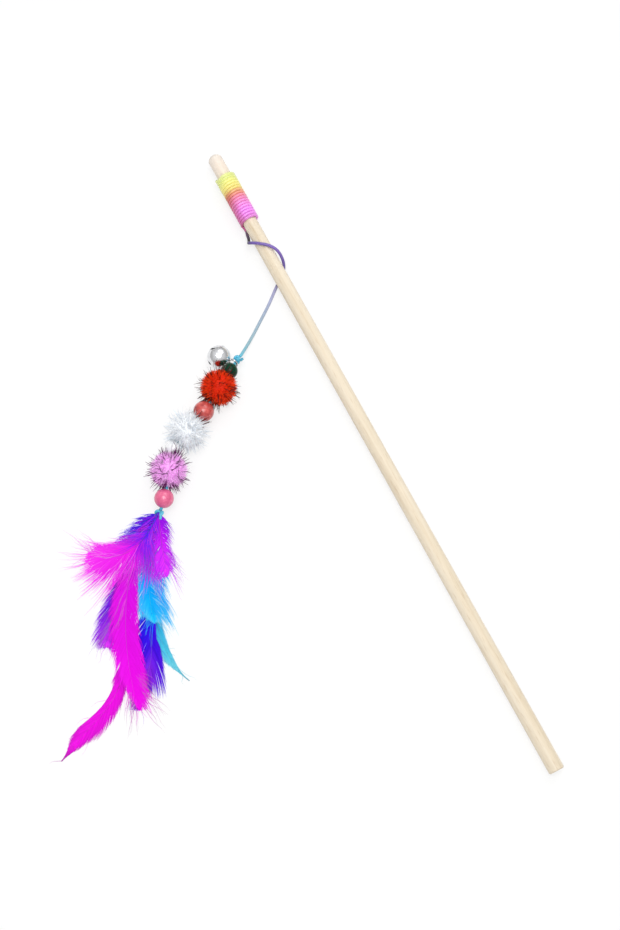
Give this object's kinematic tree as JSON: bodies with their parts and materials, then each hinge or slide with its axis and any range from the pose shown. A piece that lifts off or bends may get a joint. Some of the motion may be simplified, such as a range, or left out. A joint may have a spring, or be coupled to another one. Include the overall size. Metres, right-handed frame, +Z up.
{
  "type": "cat teaser wand",
  "caption": "Wooden wand with a cord wound round its tip and a lure of a jingle bell, beads, tinsel pompoms and feathers on the cord's free end.",
  "frame": {"origin": "on the table the wand lies on, under the middle of the box round everything but the free cord", "axes": "+X along the dowel towards its wound tip, +Y towards the lure, +Z up from the table"},
  "size_m": [0.45, 0.2583, 0.023],
  "materials": {
    "birch": "smooth raw birch, pale cream with a fine straight grain",
    "wound_cord": "satin cord dyed in a run of colours: yellow-green, orange, coral, pink",
    "free_cord": "the same satin cord, here purple, grey-blue and teal",
    "knot_cord": "satin cord, here turquoise",
    "lure_cord": "satin cord inside the beads",
    "bell_sheet": "polished nickel-plated sheet",
    "bell_wire": "nickel-plated wire",
    "ball_steel": "plain steel ball",
    "green_plastic": "glossy dark green",
    "red_tinsel": "tinsel strands, red-orange",
    "coral_plastic": "glossy coral red",
    "white_tinsel": "tinsel strands, white with a pearly sheen",
    "white_plastic": "glossy white",
    "pink_tinsel": "tinsel strands, pink",
    "pink_plastic": "glossy pink",
    "magenta_feather": "dyed feather, magenta",
    "turquoise_feather": "dyed hackle, pale turquoise",
    "purple_feather": "dyed feather, purple",
    "blue_feather": "dyed feather, blue",
    "violet_feather": "dyed feather, violet",
    "cyan_feather": "dyed plume, cyan"
  },
  "bodies": {
    "wand": {"dowel": "birch", "winding": "wound_cord", "cord": "free_cord"},
    "lure": {"upper_knot": "knot_cord", "lure_string": "lure_cord"},
    "bell": {"bell_upper_shell": "bell_sheet", "bell_lower_shell": "bell_sheet", "bell_eye": "bell_wire"},
    "bell_ball": {"bell_ball": "ball_steel"},
    "green_bead": {"green_bead": "green_plastic"},
    "red_pompom": {"red_pompom": "red_tinsel"},
    "coral_bead": {"coral_bead": "coral_plastic"},
    "white_pompom": {"white_pompom": "white_tinsel"},
    "white_bead": {"white_bead": "white_plastic"},
    "pink_pompom": {"pink_pompom": "pink_tinsel"},
    "pink_bead": {"pink_bead": "pink_plastic"},
    "feathers": {"lower_knot": "knot_cord", "long_feather": "magenta_feather", "turquoise_feather": "turquoise_feather", "left_feather": "purple_feather", "blue_feather": "blue_feather", "violet_feather": "violet_feather", "cyan_feather": "cyan_feather", "centre_feather": "magenta_feather", "right_feather": "purple_feather", "plume_feather": "magenta_feather"}
  },
  "joints": [
    {"name": "lure_swing", "type": "hinge", "parent": "wand", "child": "lure", "pos_m": [0.08582, -0.07182, 0.008], "axis": [0, 0, 1], "range_deg": [-45, 30]},
    {"name": "bell_swing", "type": "hinge", "parent": "lure", "child": "bell", "pos_m": [0.08374, -0.06866, 0.00929], "axis": [-0.5182, 0.7918, 0.3233], "continuous": true},
    {"name": "bell_rattle", "type": "slide", "parent": "bell", "child": "bell_ball", "axis": [0, 0, 1], "range_m": [0, 0.0094]},
    {"name": "green_bead_spin", "type": "hinge", "parent": "lure", "child": "green_bead", "pos_m": [0.08018, -0.06321, 0.01118], "axis": [-0.5402, 0.8255, 0.1639], "continuous": true},
    {"name": "red_pompom_spin", "type": "hinge", "parent": "lure", "child": "red_pompom", "pos_m": [0.07297, -0.05219, 0.0115], "axis": [-0.5476, 0.8368, 0], "continuous": true},
    {"name": "coral_bead_spin", "type": "hinge", "parent": "lure", "child": "coral_bead", "pos_m": [0.06307, -0.03706, 0.0115], "axis": [-0.4833, 0.8755, 0], "continuous": true},
    {"name": "white_pompom_spin", "type": "hinge", "parent": "lure", "child": "white_pompom", "pos_m": [0.05635, -0.02238, 0.0115], "axis": [-0.4163, 0.9092, 0], "continuous": true},
    {"name": "white_bead_spin", "type": "hinge", "parent": "lure", "child": "white_bead", "pos_m": [0.0496, -0.00962, 0.0115], "axis": [-0.6541, 0.7564, 0], "continuous": true},
    {"name": "pink_pompom_spin", "type": "hinge", "parent": "lure", "child": "pink_pompom", "pos_m": [0.03828, -0.00132, 0.0115], "axis": [-0.8396, 0.5432, 0], "continuous": true},
    {"name": "pink_bead_spin", "type": "hinge", "parent": "lure", "child": "pink_bead", "pos_m": [0.02366, 0.0088, 0.01066], "axis": [-0.7311, 0.6456, -0.2206], "continuous": true},
    {"name": "feather_swing", "type": "hinge", "parent": "lure", "child": "feathers", "pos_m": [0.01776, 0.01509, 0.0075], "axis": [0, 0, 1], "range_deg": [-45, 30]}
  ]
}
